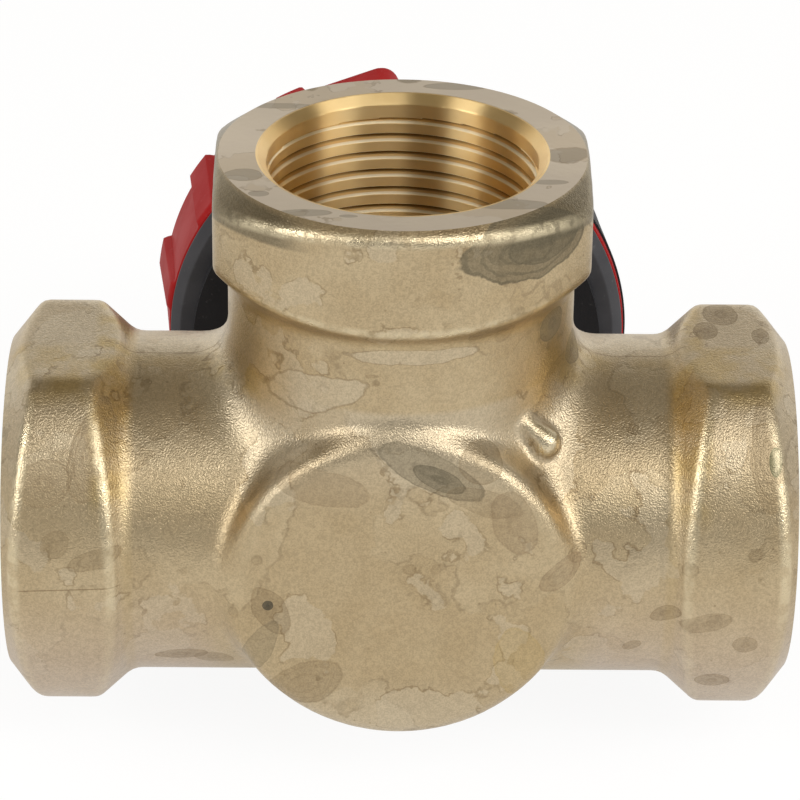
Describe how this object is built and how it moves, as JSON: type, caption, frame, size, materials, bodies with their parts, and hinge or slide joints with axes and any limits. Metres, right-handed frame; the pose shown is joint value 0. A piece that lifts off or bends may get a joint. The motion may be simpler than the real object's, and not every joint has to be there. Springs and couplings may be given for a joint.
{
  "type": "three-way rotary mixing valve",
  "caption": "Brass tee-shaped rotary mixing valve with internally threaded ports, a round boss and a quarter-turn hand knob behind.",
  "frame": {"origin": "where the axes of the ports cross", "axes": "+X out of the right through port, +Z out of the branch port, +Y along the stem towards the knob"},
  "size_m": [0.072, 0.0676, 0.0593],
  "materials": {
    "forged_brass": "sandblasted forging with machined mouth faces and water stains",
    "turned_brass": "turned",
    "screw_steel": "zinc plated",
    "seal_rubber": "smooth",
    "black_plastic": "fine texture",
    "grey_plastic": "fine texture",
    "red_plastic": "satin",
    "white_plastic": "smooth"
  },
  "bodies": {
    "valve": {"valve_body": "forged_brass", "cover": "forged_brass", "cover_o_ring": "seal_rubber", "cover_screws": "screw_steel", "dial_plate": "black_plastic", "stem_bush": "turned_brass", "bush_o_ring": "seal_rubber", "stop_pin": "screw_steel"},
    "knob": {"rotor": "turned_brass", "rotor_pin": "screw_steel", "thrust_washer": "white_plastic", "stem": "turned_brass", "stem_o_ring_lower": "seal_rubber", "stem_o_ring_upper": "seal_rubber", "retaining_clip": "screw_steel", "knob_rear_ring": "grey_plastic", "pointer_ring": "red_plastic", "knob_body": "black_plastic", "knob_insert": "turned_brass", "spring_washer": "screw_steel", "knob_screw": "screw_steel", "knob_cap": "black_plastic"}
  },
  "joints": [
    {"name": "knob_turn", "type": "hinge", "parent": "valve", "child": "knob", "pos_m": [0, 0, 0], "axis": [0, 1, 0], "range_deg": [-45, 45]}
  ]
}
